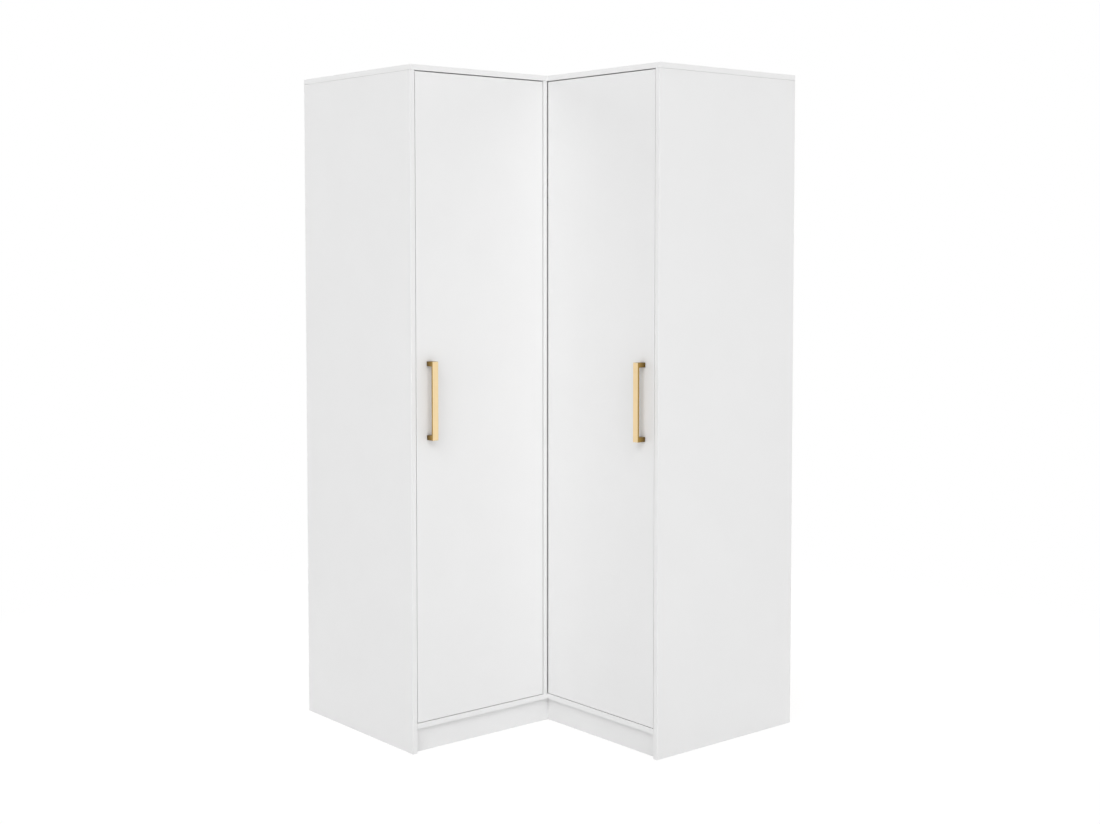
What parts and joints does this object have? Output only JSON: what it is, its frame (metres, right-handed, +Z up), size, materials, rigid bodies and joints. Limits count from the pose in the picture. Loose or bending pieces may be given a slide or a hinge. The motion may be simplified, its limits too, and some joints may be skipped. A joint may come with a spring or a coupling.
{
  "type": "corner wardrobe",
  "caption": "L-shaped corner wardrobe with inset doors hinged at the inner corner, bow handles, shelves and a coat rail behind them.",
  "frame": {"origin": "middle of the bounding box, on the floor", "axes": "+Z up. The room's corner is at -X, +Y. The left wing runs along -Y and its door faces +X. The right wing runs along +X and its door faces -Y"},
  "size_m": [1.071, 1.081, 2],
  "materials": {
    "white_melamine": "white melamine-faced chipboard with matching edge banding, satin",
    "white_hardboard": "thin hardboard, lacquered white",
    "gold_metal": "satin gold",
    "nickel_steel": "nickel plated, bright",
    "chromed_steel": "chrome plated, polished"
  },
  "bodies": {
    "carcass": {"left_side_panel": "white_melamine", "right_side_panel": "white_melamine", "corner_side_panel": "white_melamine", "partition_panel": "white_melamine", "hinge_stile": "white_melamine", "top_panel": "white_melamine", "bottom_panel": "white_melamine", "left_plinth": "white_melamine", "right_plinth": "white_melamine", "left_rear_plinth": "white_melamine", "right_rear_plinth": "white_melamine", "left_back_sheet": "white_hardboard", "right_back_sheet": "white_hardboard", "hat_shelf": "white_melamine", "left_shelf_1": "white_melamine", "left_shelf_2": "white_melamine", "left_shelf_3": "white_melamine", "left_shelf_4": "white_melamine", "rail_socket_corner": "chromed_steel", "rail_socket_side": "chromed_steel", "hanging_rail": "chromed_steel", "left_hinge_arm_1": "nickel_steel", "left_hinge_arm_2": "nickel_steel", "left_hinge_arm_3": "nickel_steel", "left_hinge_arm_4": "nickel_steel", "left_hinge_plate_1": "nickel_steel", "left_hinge_plate_2": "nickel_steel", "left_hinge_plate_3": "nickel_steel", "left_hinge_plate_4": "nickel_steel", "right_hinge_arm_1": "nickel_steel", "right_hinge_arm_2": "nickel_steel", "right_hinge_arm_3": "nickel_steel", "right_hinge_arm_4": "nickel_steel", "right_hinge_plate_1": "nickel_steel", "right_hinge_plate_2": "nickel_steel", "right_hinge_plate_3": "nickel_steel", "right_hinge_plate_4": "nickel_steel"},
    "left_leaf": {"left_door": "white_melamine", "left_handle": "gold_metal", "left_handle_screw_lower": "nickel_steel", "left_handle_screw_upper": "nickel_steel", "left_hinge_cup_1": "nickel_steel", "left_hinge_cup_2": "nickel_steel", "left_hinge_cup_3": "nickel_steel", "left_hinge_cup_4": "nickel_steel"},
    "right_leaf": {"right_door": "white_melamine", "right_handle": "gold_metal", "right_handle_screw_lower": "nickel_steel", "right_handle_screw_upper": "nickel_steel", "right_hinge_cup_1": "nickel_steel", "right_hinge_cup_2": "nickel_steel", "right_hinge_cup_3": "nickel_steel", "right_hinge_cup_4": "nickel_steel"}
  },
  "joints": [
    {"name": "left_door_swing", "type": "hinge", "parent": "carcass", "child": "left_leaf", "pos_m": [0.0305, -0.07147, 1.0355], "axis": [0, 0, 1], "range_deg": [0, 42]},
    {"name": "right_door_swing", "type": "hinge", "parent": "carcass", "child": "right_leaf", "pos_m": [0.06647, -0.0195, 1.0355], "axis": [0, 0, -1], "range_deg": [0, 42]}
  ]
}
